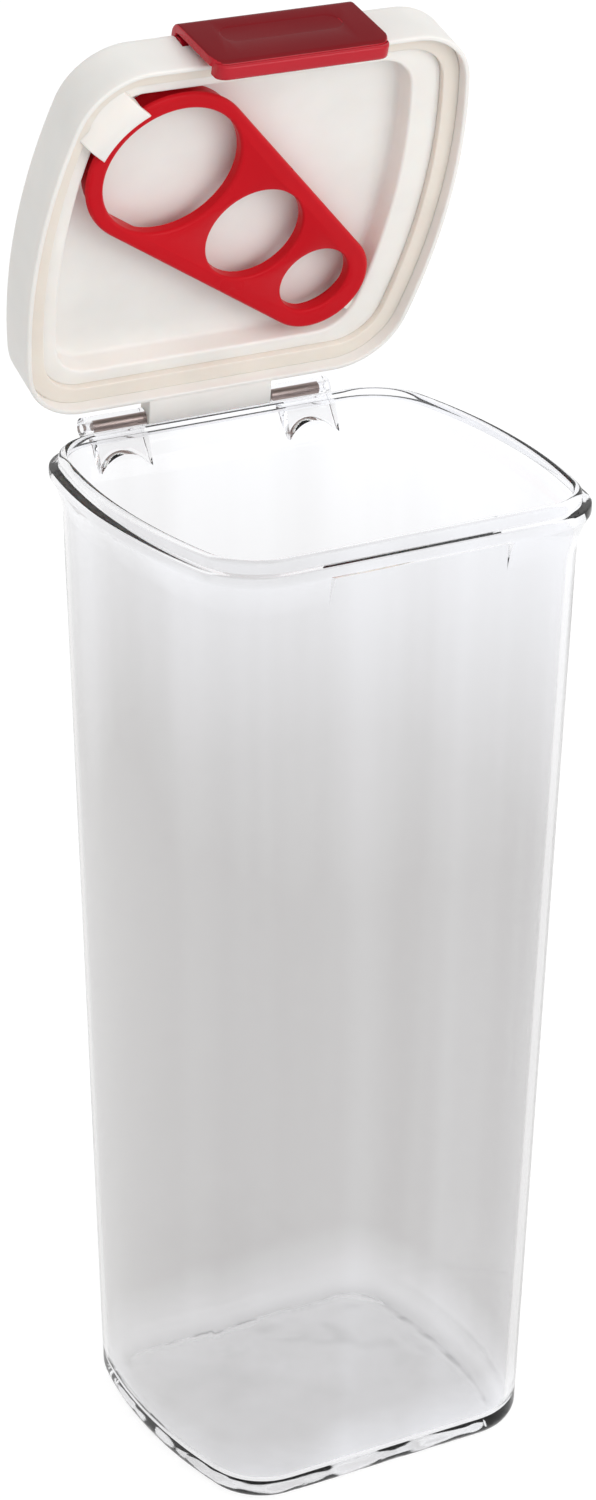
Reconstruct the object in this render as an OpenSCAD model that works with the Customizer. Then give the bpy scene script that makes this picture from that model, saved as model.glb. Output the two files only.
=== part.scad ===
// Tall clear storage container for long pasta, with a hinged lid,
// a snap latch and a portion measure kept inside the lid.
// Millimetres. Origin on the table, under the middle of the base.
// Front (latch) is -Y, back (hinge) is +Y, and the lid is drawn open.

/* [Container] */
// Width across the collar at the bulge of the sides
collar_w = 121.4; // [110:0.1:140]
// Depth across the collar, front to back
collar_d = 108; // [98:0.5:125]
// Height of the ledge that the lid's rim meets
ledge_z = 270.5; // [180:0.5:320]
// Corner radius of the collar
corner_r = 19.35; // [17:0.05:22]
// Bulge of the left and right sides
side_bulge = 3.85; // [2:0.05:6]
// Width of the body at the base
base_w = 101.6; // [95:0.1:106]
// Depth of the body at the base
base_d = 90.6; // [84:0.1:95]
// Corner radius of the body at the base
base_corner_r = 17.8; // [12:0.1:20]
// Radius of the rounded edge round the base
base_edge_r = 5; // [3.5:0.1:7]
// Thickness of the clear side walls
wall_t = 2.3; // [1.6:0.1:3]
// Thickness of the floor
floor_t = 3.2; // [2:0.1:5]
// Height of the foot rim under the base
foot_h = 0.8; // [0.4:0.1:1.2]

/* [Neck and collar] */
// Height of the sealing neck above the ledge
neck_h = 3.3; // [2.6:0.1:5]
// Step from the collar's edge in to the neck
ledge_w = 2.55; // [2:0.05:3.2]
// How far the collar stands out past the wall
flare_w = 3.45; // [2.8:0.05:4.2]
// Height of the flare from the wall to the ledge
flare_h = 12; // [9:0.5:18]
// Thickness of the ledge over the latch notch
catch_t = 3.2; // [2.4:0.1:4.5]
// Width of the notch that the latch hooks into
notch_w = 51; // [46:0.5:56]

/* [Hinge] */
// Distance of the hinge axis behind the collar
hinge_out = 6; // [5:0.1:8]
// Height of the hinge axis above the ledge
hinge_up = 1.5; // [0:0.1:3]
// Outer radius of the hinge barrels
barrel_r = 2.9; // [2.4:0.1:3.6]
// Length of each clear hinge barrel
barrel_l = 18; // [12:0.5:22]
// Distance from the middle to the inner end of each barrel
barrel_x = 18.8; // [15:0.1:22]
// Diameter of the steel hinge pins
pin_d = 2.4; // [1.6:0.1:3]
// Length of each pin held in the lid
pin_grip = 11; // [7:0.5:13]
// How far each pin stops short of the barrel's outer end
pin_short = 2.8; // [0.5:0.1:5]
// Running clearance round a pin, on the radius
pin_clear = 0.06; // [0.03:0.01:0.1]
// Angle of the lid from closed, as drawn
lid_angle = 68; // [40:1:105]
// Angle of the latch from hooked, as drawn
latch_angle = 7.5; // [7:0.5:40]

/* [Lid] */
// Height of the lid over its rim
lid_h = 16; // [14.5:0.1:22]
// Thickness of the skirt at the rim
skirt_t = 1.4; // [1.1:0.05:1.6]
// Thickness of the top of the lid
lid_top_t = 2.2; // [1.6:0.1:3]
// Radius of the rounded edge round the top
lid_edge_r = 3; // [1.5:0.1:4]
// Depth of the stacking recess in the top
recess_h = 1; // [0.4:0.1:1.4]
// Gap between the closed lid and the collar
seal_gap = 0.4; // [0.3:0.05:0.8]
// Thickness of the sealing ring
gasket_t = 2.2; // [1.4:0.1:2.6]
// Width of the channel that holds the sealing ring
channel_w = 4.6; // [4:0.1:6]
// Thickness of the inner lid
liner_t = 1.8; // [1.4:0.1:2.4]
// Depth of the measure's well below the land round it
well_h = 5.7; // [5:0.1:6.4]
// Distance of the well inside the lid's left and right sides
well_side_in = 12.7; // [12:0.1:13]
// Distance of the well inside the lid's front and back
well_front_in = 10.3; // [9.8:0.1:10.4]

/* [Latch] */
// Width of the latch
latch_w = 50; // [40:0.5:50]
// Thickness of the latch's front plate
latch_t = 2.5; // [1.8:0.1:3]
// How far the latch reaches below the ledge
latch_drop = 8.6; // [7:0.1:12]
// How far the hook reaches under the ledge
hook_l = 1.8; // [1:0.1:2.2]
// Diameter of the latch pin
latch_pin_d = 2.4; // [1.6:0.1:3]
// Radius of the latch's rolled top edge
latch_roll_r = 3.2; // [2.8:0.1:3.6]

/* [Portion measure] */
// Radius of the large hole
hole_large_r = 18.7; // [15:0.1:19]
// Radius of the middle hole
hole_middle_r = 13.7; // [10:0.1:14]
// Radius of the small hole
hole_small_r = 9.5; // [6:0.1:10.5]
// Height of the measure over its rim
measure_t = 5.3; // [4:0.1:5.3]
// Thickness of the measure's face
measure_face_t = 1.7; // [1.2:0.1:2.4]
// Thickness of the measure's rim
measure_rim_t = 1.5; // [1.2:0.1:2]
// Outer radius of the large end
large_end_r = 22.8; // [21:0.1:22.8]
// Outer radius of the small end
small_end_r = 14.7; // [12:0.1:16]
// Width of the tab that holds the measure
tab_w = 16.5; // [10:0.5:20]

/* [Hidden] */
$fn = 96;
eps = 0.01;

// Half sizes and the corner centres of the collar's outline
half_w = collar_w / 2;
half_d = collar_d / 2;
corner_x = half_w - side_bulge - corner_r;
corner_y = half_d - corner_r;
neck_z = ledge_z + neck_h;
hinge_y = half_d + hinge_out;
hinge_z = ledge_z + hinge_up;

// Radius of the side arc through two corner centres, a bulge b deep
function arc_r(cy, b) = (cy * cy + b * b) / (2 * b);

// Exact outline with straight front and back, bulged sides and round corners
module outline(hw, hd, r, b) {
    cx = hw - b - r;
    cy = hd - r;
    big = arc_r(cy, b);
    centre = big - b - cx;
    tangent_y = cy * (big + r) / big;
    for (sx = [-1, 1], sy = [-1, 1]) translate([sx * cx, sy * cy]) circle(r);
    square([2 * cx, 2 * hd], center = true);
    intersection() {
        translate([-centre, 0]) circle(big + r, $fn = 720);
        translate([centre, 0]) circle(big + r, $fn = 720);
        square([3 * hw, 2 * tangent_y], center = true);
    }
}

// Outline of the collar drawn in by e on every side
module collar_outline(e) {
    outline(half_w - e, half_d - e, corner_r - e, side_bulge);
}

// Sweeps a profile all round. Its x is the distance outside the corner centres (cx, cy)
module sweep_round(cx = corner_x, cy = corner_y, b = side_bulge) {
    big = arc_r(cy, b);
    a = asin(cy / big);
    for (mx = [0, 1], my = [0, 1]) mirror([mx, 0, 0]) mirror([0, my, 0])
        translate([cx, cy, 0]) rotate_extrude(angle = 90 - a, start = a) children();
    for (mx = [0, 1]) mirror([mx, 0, 0]) translate([cx + b - big, 0, 0])
        rotate_extrude(angle = 2 * a, start = -a, $fn = 720) translate([big, 0]) children();
    for (my = [0, 1]) mirror([0, my, 0]) translate([-cx, cy, 0])
        rotate([90, 0, 90]) linear_extrude(2 * cx) children();
}

// The flat middle inside the corner centres
module core_plan(cx = corner_x, cy = corner_y, b = side_bulge) {
    big = arc_r(cy, b);
    centre = big - b - cx;
    intersection() {
        translate([-centre, 0]) circle(big, $fn = 720);
        translate([centre, 0]) circle(big, $fn = 720);
        square([3 * (cx + b), 2 * cy], center = true);
    }
}

// Flat slab from z0 to z1 in the collar's outline drawn in by e
module collar_slab(e, z0, z1) {
    sweep_round() translate([0, z0]) square([corner_r - e, z1 - z0]);
    translate([0, 0, z0]) linear_extrude(z1 - z0) core_plan();
}

// Lofted shell of the container. A row is [height, half width, half depth, corner radius, bulge]
side_steps = 5;
corner_steps = 9;
function quarter(row) =
    let (r = row[3], b = row[4], cx = row[1] - b - r, cy = row[2] - r)
    let (big = arc_r(cy, b), a = asin(cy / big), mx = cx + b - big)
    concat(
        [for (i = [0 : side_steps - 1]) let (t = a * i / side_steps)
            [mx + (big + r) * cos(t), (big + r) * sin(t)]],
        [for (i = [0 : corner_steps]) let (t = a + (90 - a) * i / corner_steps)
            [cx + r * cos(t), cy + r * sin(t)]]);
function ring(row) =
    let (q = quarter(row), n = len(q))
    let (half = concat(q, [for (i = [n - 1 : -1 : 0]) [-q[i][0], q[i][1]]]))
    let (m = len(half))
    concat(
        [for (i = [0 : m - 2]) [half[i][0], half[i][1], row[0]]],
        [for (i = [0 : m - 2]) [-half[i][0], -half[i][1], row[0]]]);
module loft(rows) {
    rings = [for (row = rows) ring(row)];
    n = len(rings[0]);
    last = len(rows) - 1;
    sides = [for (k = [0 : last - 1], i = [0 : n - 1])
        let (j = (i + 1) % n)
        each [[k * n + i, (k + 1) * n + i, k * n + j], [k * n + j, (k + 1) * n + i, (k + 1) * n + j]]];
    bottom = [for (i = [0 : n - 1]) i];
    top = [for (i = [n - 1 : -1 : 0]) last * n + i];
    polyhedron(points = [for (r = rings) each r], faces = concat([bottom], sides, [top]), convexity = 6);
}

// Rows of the body wall between the base (k = 0) and the foot of the flare (k = 1)
wall_top_z = ledge_z - flare_h;
function wall_row(z, e, k) =
    let (w0 = base_w / 2, d0 = base_d / 2, w1 = half_w - flare_w, d1 = half_d - flare_w)
    [z, w0 + (w1 - w0) * k - e, d0 + (d1 - d0) * k - e,
        base_corner_r + (corner_r - flare_w - base_corner_r) * k - e,
        side_bulge * (0.8 + 0.2 * k)];
function collar_row(z, e) = [z, half_w - e, half_d - e, corner_r - e, side_bulge];

shell_steps = 4;
outer_rows = concat(
    [for (i = [0 : shell_steps]) let (t = 90 * i / shell_steps)
        wall_row(foot_h + base_edge_r * (1 - cos(t)), base_edge_r * (1 - sin(t)), 0)],
    [wall_row(wall_top_z, 0, 1)],
    [for (i = [1 : 5]) let (t = i / 5)
        collar_row(wall_top_z + (flare_h - catch_t) * t, flare_w * (1 - 0.86 * pow(t, 1.6)))],
    [collar_row(ledge_z - 1.6, 0), collar_row(ledge_z - 0.5, 0), collar_row(ledge_z, 0.5)]);
lip_r = wall_t / 2;
neck_rows = concat(
    [collar_row(ledge_z, ledge_w - 0.3), collar_row(ledge_z + 0.3, ledge_w)],
    [for (i = [0 : 6]) let (t = 180 * i / 6)
        collar_row(neck_z - lip_r + lip_r * sin(t), ledge_w + lip_r * (1 - cos(t)))]);
inner_edge_r = base_edge_r + 0.6;
inner_rows = concat(
    [wall_row(wall_top_z - 2, wall_t, 1)],
    [for (i = [shell_steps : -1 : 0]) let (t = 90 * i / shell_steps)
        wall_row(foot_h + floor_t + inner_edge_r * (1 - cos(t)), wall_t + inner_edge_r * (1 - sin(t)), 0)]);

// Bracket that carries one clear barrel, from the wall out to the hinge axis
bracket_x = barrel_x + 1.9;
bracket_l = barrel_l - 3;
module hinge_bracket() {
    arch_r = 9.2;
    arch_up = 5;
    difference() {
        translate([bracket_x, 0, 0]) rotate([90, 0, 90]) linear_extrude(bracket_l)
            polygon([
                [half_d - flare_w - 0.8, ledge_z - 9.5],
                [half_d - flare_w + 1.8, ledge_z - 9.5],
                [hinge_y + 0.6 * barrel_r, hinge_z - 0.6 * barrel_r],
                [hinge_y - 0.4 * barrel_r, hinge_z - 0.7 * barrel_r],
                [half_d - 0.9, ledge_z - 1.1],
                [half_d - flare_w - 0.8, ledge_z - 2]]);
        translate([bracket_x + bracket_l / 2, 0, ledge_z - 9.5 + arch_up - arch_r])
            rotate([90, 0, 0]) cylinder(h = 3 * half_d, r = arch_r, center = true);
    }
}

// Outline of the foot rim under the base, drawn in by e
foot_w = 3;
module foot_outline(e) {
    in = base_edge_r + 0.8 + e;
    outline(base_w / 2 - in, base_d / 2 - in, base_corner_r - in, 0.8 * side_bulge);
}

module container() {
    color([0.86, 0.88, 0.9, 0.35]) difference() {
        union() {
            loft(concat(outer_rows, neck_rows, inner_rows));
            linear_extrude(2 * foot_h) difference() {
                foot_outline(0);
                foot_outline(foot_w);
            }
            for (m = [0, 1]) mirror([m, 0, 0]) {
                hinge_bracket();
                translate([barrel_x, hinge_y, hinge_z]) rotate([0, 90, 0]) cylinder(h = barrel_l, r = barrel_r);
            }
        }
        for (m = [0, 1]) mirror([m, 0, 0]) translate([barrel_x - 1, hinge_y, hinge_z])
            rotate([0, 90, 0]) cylinder(h = barrel_l + 2, d = pin_d + 2 * pin_clear);
        latch_notch();
    }
}

// Notch under the front of the collar, where the hook catches
module latch_notch() {
    translate([-notch_w / 2, -half_d - 1, ledge_z - catch_t - 20])
        cube([notch_w, 1 + flare_w - 0.05, 20]);
}

module hinge_pin(side) {
    color([0.72, 0.7, 0.68]) translate([side * (barrel_x - pin_grip), hinge_y, hinge_z])
        rotate([0, side * 90, 0]) cylinder(h = pin_grip + barrel_l - pin_short, d = pin_d);
}
module hinge_pin_left() {
    hinge_pin(-1);
}
module hinge_pin_right() {
    hinge_pin(1);
}

// Turns the lid's pieces from closed to the angle they are drawn at
module opened() {
    translate([0, hinge_y, hinge_z]) rotate([-lid_angle, 0, 0]) translate([0, -hinge_y, -hinge_z]) children();
}

rim_z = ledge_z + seal_gap;
lid_top_z = rim_z + lid_h;
channel_z = rim_z + neck_h - seal_gap + 0.3 + gasket_t;
seat_z = channel_z + liner_t;
land_z = channel_z - 1.1;
well_z = land_z + well_h;
liner_edge = skirt_t + 0.15;
channel_in = liner_edge + channel_w;
well_draft = 0.5;
well_r = 11;
well_bulge = 3.4;
recess_e = half_d - base_d / 2 - 0.5;

// The latch's bay in the front edge of the lid
latch_axis_y = -half_d + 3.4;
latch_axis_z = lid_top_z - latch_roll_r - 0.1;
bay_gap = 0.4;
bay_w = latch_w + 2 * bay_gap;
bay_r = latch_roll_r + bay_gap;
bay_wall = 1.2;

module latch_bay(grow, len_x) {
    translate([-len_x / 2, latch_axis_y, latch_axis_z]) rotate([0, 90, 0]) cylinder(h = len_x, r = bay_r + grow);
    translate([-len_x / 2, -half_d - 4 - grow, latch_axis_z - bay_r - grow])
        cube([len_x, half_d + 4 + grow + latch_axis_y, bay_r + lid_top_z - latch_axis_z + 1 + 2 * grow]);
    translate([-len_x / 2, latch_axis_y - 1, latch_axis_z]) cube([len_x, 1 + bay_r + grow, bay_r + 5]);
}

module lid_outer_profile() {
    r0 = corner_r;
    tilt = 0.4;
    difference() {
        union() {
            polygon([[0, rim_z], [r0, rim_z], [r0 - tilt, lid_top_z - lid_edge_r],
                [r0 - tilt - lid_edge_r, lid_top_z], [0, lid_top_z]]);
            intersection() {
                translate([r0 - tilt - lid_edge_r, lid_top_z - lid_edge_r]) circle(lid_edge_r);
                translate([0, rim_z]) square([r0 - tilt, lid_h]);
            }
        }
        translate([-1, lid_top_z - recess_h]) square([r0 - recess_e + 1, recess_h + 1]);
    }
}

module lid_inner_profile() {
    r0 = corner_r;
    polygon([[0, rim_z - 1], [r0 - skirt_t, rim_z - 1], [r0 - skirt_t, seat_z], [r0 - skirt_t - 0.9, seat_z],
        [r0 - skirt_t - 1.1, lid_top_z - lid_top_t - recess_h], [0, lid_top_z - lid_top_t - recess_h]]);
}

// Outer lid: skirt, top, the latch's bay and the knuckle between the barrels
module lid_shell() {
    knuckle_w = 2 * barrel_x - 1;
    color([0.93, 0.91, 0.87]) opened() difference() {
        union() {
            difference() {
                union() {
                    sweep_round() lid_outer_profile();
                    translate([0, 0, rim_z]) linear_extrude(lid_h - recess_h) core_plan();
                    lid_knuckle(knuckle_w);
                }
                sweep_round() lid_inner_profile();
                translate([0, 0, rim_z - 1]) linear_extrude(lid_h + 1 - lid_top_t - recess_h) core_plan();
            }
            intersection() {
                latch_bay(bay_wall, bay_w + 2 * 3.4);
                translate([0, 0, seat_z + 0.2]) linear_extrude(lid_top_z - seat_z - 1.2) collar_outline(1.2);
            }
        }
        latch_bay(0, bay_w);
        translate([-latch_pin_l / 2, latch_axis_y, latch_axis_z]) rotate([0, 90, 0])
            cylinder(h = latch_pin_l, d = latch_pin_d);
        for (m = [0, 1]) mirror([m, 0, 0]) translate([barrel_x - pin_grip, hinge_y, hinge_z])
            rotate([0, 90, 0]) cylinder(h = pin_grip + 1, d = pin_d);
    }
}

// Knuckle and the web that joins it to the back of the skirt
module lid_knuckle(w) {
    translate([-w / 2, hinge_y, hinge_z]) rotate([0, 90, 0]) cylinder(h = w, r = barrel_r);
    translate([-w / 2, 0, 0]) rotate([90, 0, 90]) linear_extrude(w)
        polygon([[half_d - 1, rim_z + 0.1], [hinge_y, hinge_z - barrel_r], [hinge_y, hinge_z + barrel_r],
            [half_d - 1, rim_z + 7.5]]);
}

// Inner lid as lofted rows: well floor, drafted well, land, channel, and back again outside
well_hw = half_w - well_side_in;
well_hd = half_d - well_front_in;
function well_row(z, g) = [z, well_hw + g, well_hd + g, well_r + g, well_bulge];
liner_rows = [
    well_row(well_z, -well_draft - 0.8), well_row(well_z - 0.2, -well_draft - 0.2),
    well_row(well_z - 0.8, -well_draft), well_row(land_z + 0.6, 0), well_row(land_z + 0.2, 0.2),
    well_row(land_z, 0.6), collar_row(land_z, channel_in + 0.4), collar_row(land_z + 0.4, channel_in),
    collar_row(channel_z, channel_in), collar_row(channel_z, liner_edge), collar_row(seat_z, liner_edge),
    well_row(seat_z, liner_t), well_row(well_z + liner_t - 1, liner_t - well_draft),
    well_row(well_z + liner_t, liner_t - well_draft - 1)];

// Inner lid, with the tab and the nub that keep the measure in its well
module lid_liner() {
    color([0.9, 0.88, 0.84]) opened() union() {
        loft(liner_rows);
        measure_tab();
        measure_nub();
    }
}

// Sealing ring in the channel
module lid_gasket() {
    outer = corner_r - liner_edge - 0.1;
    inner = corner_r - channel_in + 0.1;
    bottom = channel_z - gasket_t;
    color([0.9, 0.85, 0.78]) opened() sweep_round()
        polygon([[inner, channel_z], [inner, bottom + 0.5], [inner + 0.6, bottom], [outer - 0.6, bottom],
            [outer, bottom + 0.5], [outer, channel_z]]);
}

// The measure's two ends stand off the well's sides by these clearances
large_side_gap = 0.95;
large_front_gap = 0.95;
small_side_gap = 2.7;
small_back_gap = 4.4;
// How far from the middle an end of radius r may lie across, at y, to clear the well's bulged side
function end_x(r, y, gap) =
    let (cy = well_hd - well_r, big = arc_r(cy, well_bulge), mx = well_hw - well_r - big)
    sqrt(pow(big + well_r - r - gap, 2) - y * y) + mx;
large_y = well_hd - large_end_r - large_front_gap;
small_y = well_hd - small_end_r - small_back_gap;
large_x = end_x(large_end_r, large_y, large_side_gap);
small_x = end_x(small_end_r, small_y, small_side_gap);
measure_angle = atan2(small_y + large_y, small_x + large_x);
measure_l = norm([small_x + large_x, small_y + large_y]);

// Places of the holes along the measure, from the middle of its large end
hole_large_s = -1.7;
hole_small_s = measure_l - 2.4;
hole_web = (hole_small_s - hole_small_r - hole_large_s - hole_large_r) / 2;
hole_middle_s = hole_large_s + hole_large_r + hole_web;
measure_back_z = well_z - 0.3;
measure_front_z = measure_back_z - measure_t;

module along_measure() {
    translate([-large_x, -large_y, 0]) rotate([0, 0, measure_angle]) children();
}

// The measure's outline drawn in by e, from z0 to z1. The straight sides start just inside the ends
side_in = 0.03;
module measure_slab(e, z0, z1) {
    a = acos((large_end_r - small_end_r) / measure_l);
    big = large_end_r - e;
    small = small_end_r - e;
    corner_big = (big - side_in) * [cos(a), sin(a)];
    corner_small = [measure_l, 0] + (small - side_in) * [cos(a), sin(a)];
    translate([0, 0, z0]) {
        cylinder(h = z1 - z0, r = big);
        translate([measure_l, 0, 0]) cylinder(h = z1 - z0, r = small);
        linear_extrude(z1 - z0) polygon([corner_big, corner_small,
            [corner_small[0], -corner_small[1]], [corner_big[0], -corner_big[1]]]);
    }
}

// Round hole with a slightly flared mouth at the front
module measure_hole(r) {
    flare = 0.5;
    translate([0, 0, measure_front_z - 1]) cylinder(h = measure_t + 2, r = r - flare);
    translate([0, 0, measure_front_z - flare]) cylinder(h = 2 * flare, r1 = r + flare, r2 = r - flare);
}

// Three-hole portion measure for dry pasta: a face with a deep rim behind it
module pasta_measure() {
    color([0.8, 0.11, 0.14]) opened() along_measure() difference() {
        measure_slab(0, measure_front_z, measure_back_z);
        measure_slab(measure_rim_t, measure_front_z + measure_face_t, measure_back_z + 1);
        translate([hole_large_s, 0, 0]) measure_hole(hole_large_r);
        translate([hole_middle_s, 0, 0]) measure_hole(hole_middle_r);
        translate([hole_small_s, 0, 0]) measure_hole(hole_small_r);
    }
}

// Tab over the large end of the measure
tab_gap = 1.1;
tab_t = 1.6;
module measure_tab() {
    tip_r = hole_large_r + 1.5;
    root_r = large_end_r + 1.2;
    tab_z = measure_front_z - tab_gap - tab_t;
    root_h = land_z + 1 - tab_z;
    intersection() {
        collar_slab(channel_in + 0.6, tab_z - 1, land_z + 2);
        along_measure() translate([0, 0, tab_z]) {
            difference() {
                translate([-50, -tab_w / 2, 0]) cube([50, tab_w, tab_t]);
                translate([hole_large_s, 0, -1]) cylinder(h = tab_t + 2, r = tip_r);
            }
            difference() {
                translate([-50, -tab_w / 2, 0]) cube([50, tab_w, root_h]);
                translate([0, 0, -1]) cylinder(h = root_h + 2, r = root_r);
            }
        }
    }
}

// Nub on the well's wall behind the small end of the measure
module measure_nub() {
    nub_w = 3.6;
    nub_l = 6.5;
    along_measure() translate([measure_l + small_end_r + 0.5, -nub_w / 2, land_z + 1])
        cube([nub_l, nub_w, well_h]);
}

// Turns the latch on its pin from hooked to the angle it is drawn at
module released() {
    translate([0, latch_axis_y, latch_axis_z]) rotate([-latch_angle, 0, 0])
        translate([0, -latch_axis_y, -latch_axis_z]) children();
}

// Latch: rolled top edge round its pin, front plate and hook
latch_pin_l = bay_w + 5;
latch_face_y = -half_d - 0.5 - latch_t;
latch_end_z = ledge_z - latch_drop;
hook_top_z = ledge_z - catch_t - 0.6;
latch_corner = 3.4;
module latch() {
    color([0.62, 0.1, 0.14]) opened() released() difference() {
        union() {
            difference() {
                across(latch_w) latch_plate();
                for (m = [0, 1]) mirror([m, 0, 0]) latch_lower_corner();
            }
            across(latch_w - 1.2) latch_hook();
        }
        translate([-latch_w, latch_axis_y, latch_axis_z]) rotate([0, 90, 0])
            cylinder(h = 2 * latch_w, d = latch_pin_d + 2 * pin_clear);
        latch_face_recess();
    }
}

// Extrudes a (y, z) section along X to width w, about the middle
module across(w) {
    translate([-w / 2, 0, 0]) rotate([90, 0, 90]) linear_extrude(w) children();
}

// Section of the front plate, its rounded lower edge and the roll round the pin
module latch_plate() {
    roll_top = latch_axis_z + latch_roll_r;
    bend_y = latch_face_y + latch_corner;
    bend_z = roll_top - latch_corner;
    nose_r = latch_t / 2;
    nose_z = latch_end_z + 1.3 + nose_r;
    translate([latch_axis_y, latch_axis_z]) circle(latch_roll_r);
    translate([bend_y, roll_top - latch_t]) square([latch_axis_y - bend_y, latch_t]);
    intersection() {
        difference() {
            translate([bend_y, bend_z]) circle(latch_corner);
            translate([bend_y, bend_z]) circle(latch_corner - latch_t);
        }
        translate([latch_face_y, bend_z]) square([latch_corner, latch_corner]);
    }
    translate([latch_face_y, nose_z]) square([latch_t, bend_z - nose_z]);
    translate([latch_face_y + nose_r, nose_z]) circle(nose_r);
}

// Section of the hook behind the plate's lower edge
module latch_hook() {
    back = -half_d + hook_l;
    polygon([[latch_face_y + 0.9, latch_end_z + 0.6], [latch_face_y + 1.4, latch_end_z],
        [back - 0.8, latch_end_z], [back, latch_end_z + 1.2], [back, hook_top_z],
        [latch_face_y + latch_t / 2, hook_top_z], [latch_face_y + 0.9, latch_end_z + 2.4]]);
}

// Cutter that rounds one lower corner of the plate
module latch_lower_corner() {
    r = 4;
    low = latch_end_z + 1.3;
    difference() {
        translate([latch_w / 2 - r, latch_face_y - 1, low - 1]) cube([r + 1, latch_t + 2, r + 1]);
        translate([latch_w / 2 - r, latch_face_y - 2, low + r]) rotate([-90, 0, 0])
            cylinder(h = latch_t + 4, r = r);
    }
}

// Shallow rounded panel pressed into the latch's face
module latch_face_recess() {
    panel_l = 34;
    panel_h = 7.4;
    panel_z = ledge_z + 5.6;
    translate([0, latch_face_y + 0.4, panel_z]) rotate([90, 0, 0]) linear_extrude(2) {
        for (s = [-1, 1]) translate([s * (panel_l - panel_h) / 2, 0]) circle(d = panel_h);
        square([panel_l - panel_h, panel_h], center = true);
    }
}

module latch_pin() {
    color([0.72, 0.72, 0.72]) opened() translate([-latch_pin_l / 2, latch_axis_y, latch_axis_z])
        rotate([0, 90, 0]) cylinder(h = latch_pin_l, d = latch_pin_d);
}

container();
hinge_pin_left();
hinge_pin_right();
lid_shell();
lid_liner();
lid_gasket();
latch();
latch_pin();
pasta_measure();
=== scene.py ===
"""Looks of the hinged-lid pasta container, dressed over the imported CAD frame.

Every piece is built in metres at the place the CAD gives it. The lid's pieces are
modelled closed and then turned open about the hinge, as in the part's source.
"""

import logging
import math
from dataclasses import dataclass, field
from enum import Enum

import bmesh
import bpy
from mathutils import Matrix, Vector

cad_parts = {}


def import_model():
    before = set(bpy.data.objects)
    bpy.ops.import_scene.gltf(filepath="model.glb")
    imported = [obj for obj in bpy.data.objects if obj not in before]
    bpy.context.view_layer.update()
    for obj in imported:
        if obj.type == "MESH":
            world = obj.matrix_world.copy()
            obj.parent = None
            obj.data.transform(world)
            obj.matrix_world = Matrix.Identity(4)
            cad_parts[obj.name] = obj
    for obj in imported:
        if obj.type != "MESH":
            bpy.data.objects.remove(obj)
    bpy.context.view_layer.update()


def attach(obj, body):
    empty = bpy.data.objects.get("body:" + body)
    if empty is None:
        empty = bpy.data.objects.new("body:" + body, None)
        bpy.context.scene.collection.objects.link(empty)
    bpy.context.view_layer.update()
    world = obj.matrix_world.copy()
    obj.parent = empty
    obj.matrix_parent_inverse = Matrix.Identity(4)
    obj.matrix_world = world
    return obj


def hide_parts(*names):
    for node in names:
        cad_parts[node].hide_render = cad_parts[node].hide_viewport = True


LOG = logging.getLogger("pasta_container")

MM = 0.001

# Shared sizes of the closed container (mm)
HINGE_Y = 60.0
HINGE_Z = 272.0
BULGE = 3.85
LEDGE_Z = 270.5
RIM_Z = 270.9
LATCH_PIN_Y = -50.6
LATCH_PIN_Z = 283.6
PIN_D = 2.4
PIN_BORE_R = 1.26

# Angles at rest
LID_ANGLE = math.radians(68)
LATCH_ANGLE = math.radians(7.5)

# Mesh work: a loop's hold-off while it is joined, then tolerances (m), and the widest smooth angle
HOLD_OFF = 0.05
SAME_X = 1e-7
SAME_PLACE = 1e-6
BOOLEAN_MERGE = 2e-6
SMOOTH_ANGLE = 40.0


class Join(Enum):
    """What a tool shape does to a piece."""

    ADD = "UNION"
    CUT = "DIFFERENCE"


@dataclass(frozen=True)
class Section:
    """One horizontal section: straight front and back, bulged sides, round corners (mm)."""

    half_w: float
    half_d: float
    radius: float
    bulge: float = BULGE

    def inset(self, by: float) -> "Section":
        """Returns the section drawn in by so many millimetres."""
        return Section(self.half_w - by, self.half_d - by, self.radius - by, self.bulge)

    def blend(self, other: "Section", share: float) -> "Section":
        """Returns the section between this one (share 0) and another (share 1)."""
        mix = [a + (b - a) * share for a, b in zip(self.values(), other.values())]
        return Section(*mix)

    def values(self) -> tuple[float, float, float, float]:
        """Returns the four sizes."""
        return self.half_w, self.half_d, self.radius, self.bulge


COLLAR = Section(60.7, 54.0, 19.35)
WALL_TOP = COLLAR.inset(3.45)
BASE = Section(50.8, 45.3, 17.8, 0.8 * BULGE)
WELL = Section(48.0, 43.7, 11.0, 3.4)


def arc(centre: tuple, radius: float, start: float, end: float, steps: int) -> list:
    """Returns points on an arc, both ends included.

    Args:
        centre: the arc's centre (mm).
        radius: its radius (mm).
        start: the angle of its first point (degrees).
        end: the angle of its last point (degrees).
        steps: how many steps lie between them.

    Returns:
        The points (mm).
    """
    turns = [math.radians(start + (end - start) * i / steps) for i in range(steps + 1)]
    return [(centre[0] + radius * math.cos(t), centre[1] + radius * math.sin(t)) for t in turns]


def bridge(bm: bmesh.types.BMesh, last: list, new: list, away: Vector) -> None:
    """Joins two loops with faces.

    Args:
        bm: the mesh that holds both.
        last: edges of the loop that stays.
        new: edges of the loop that is held off while the two are paired.
        away: how far it is held off; it is put back afterwards.
    """
    held = list({v for e in new for v in e.verts})
    bmesh.ops.translate(bm, verts=held, vec=away)
    bmesh.ops.bridge_loops(bm, edges=last + new)
    bmesh.ops.translate(bm, verts=held, vec=-away)


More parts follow.
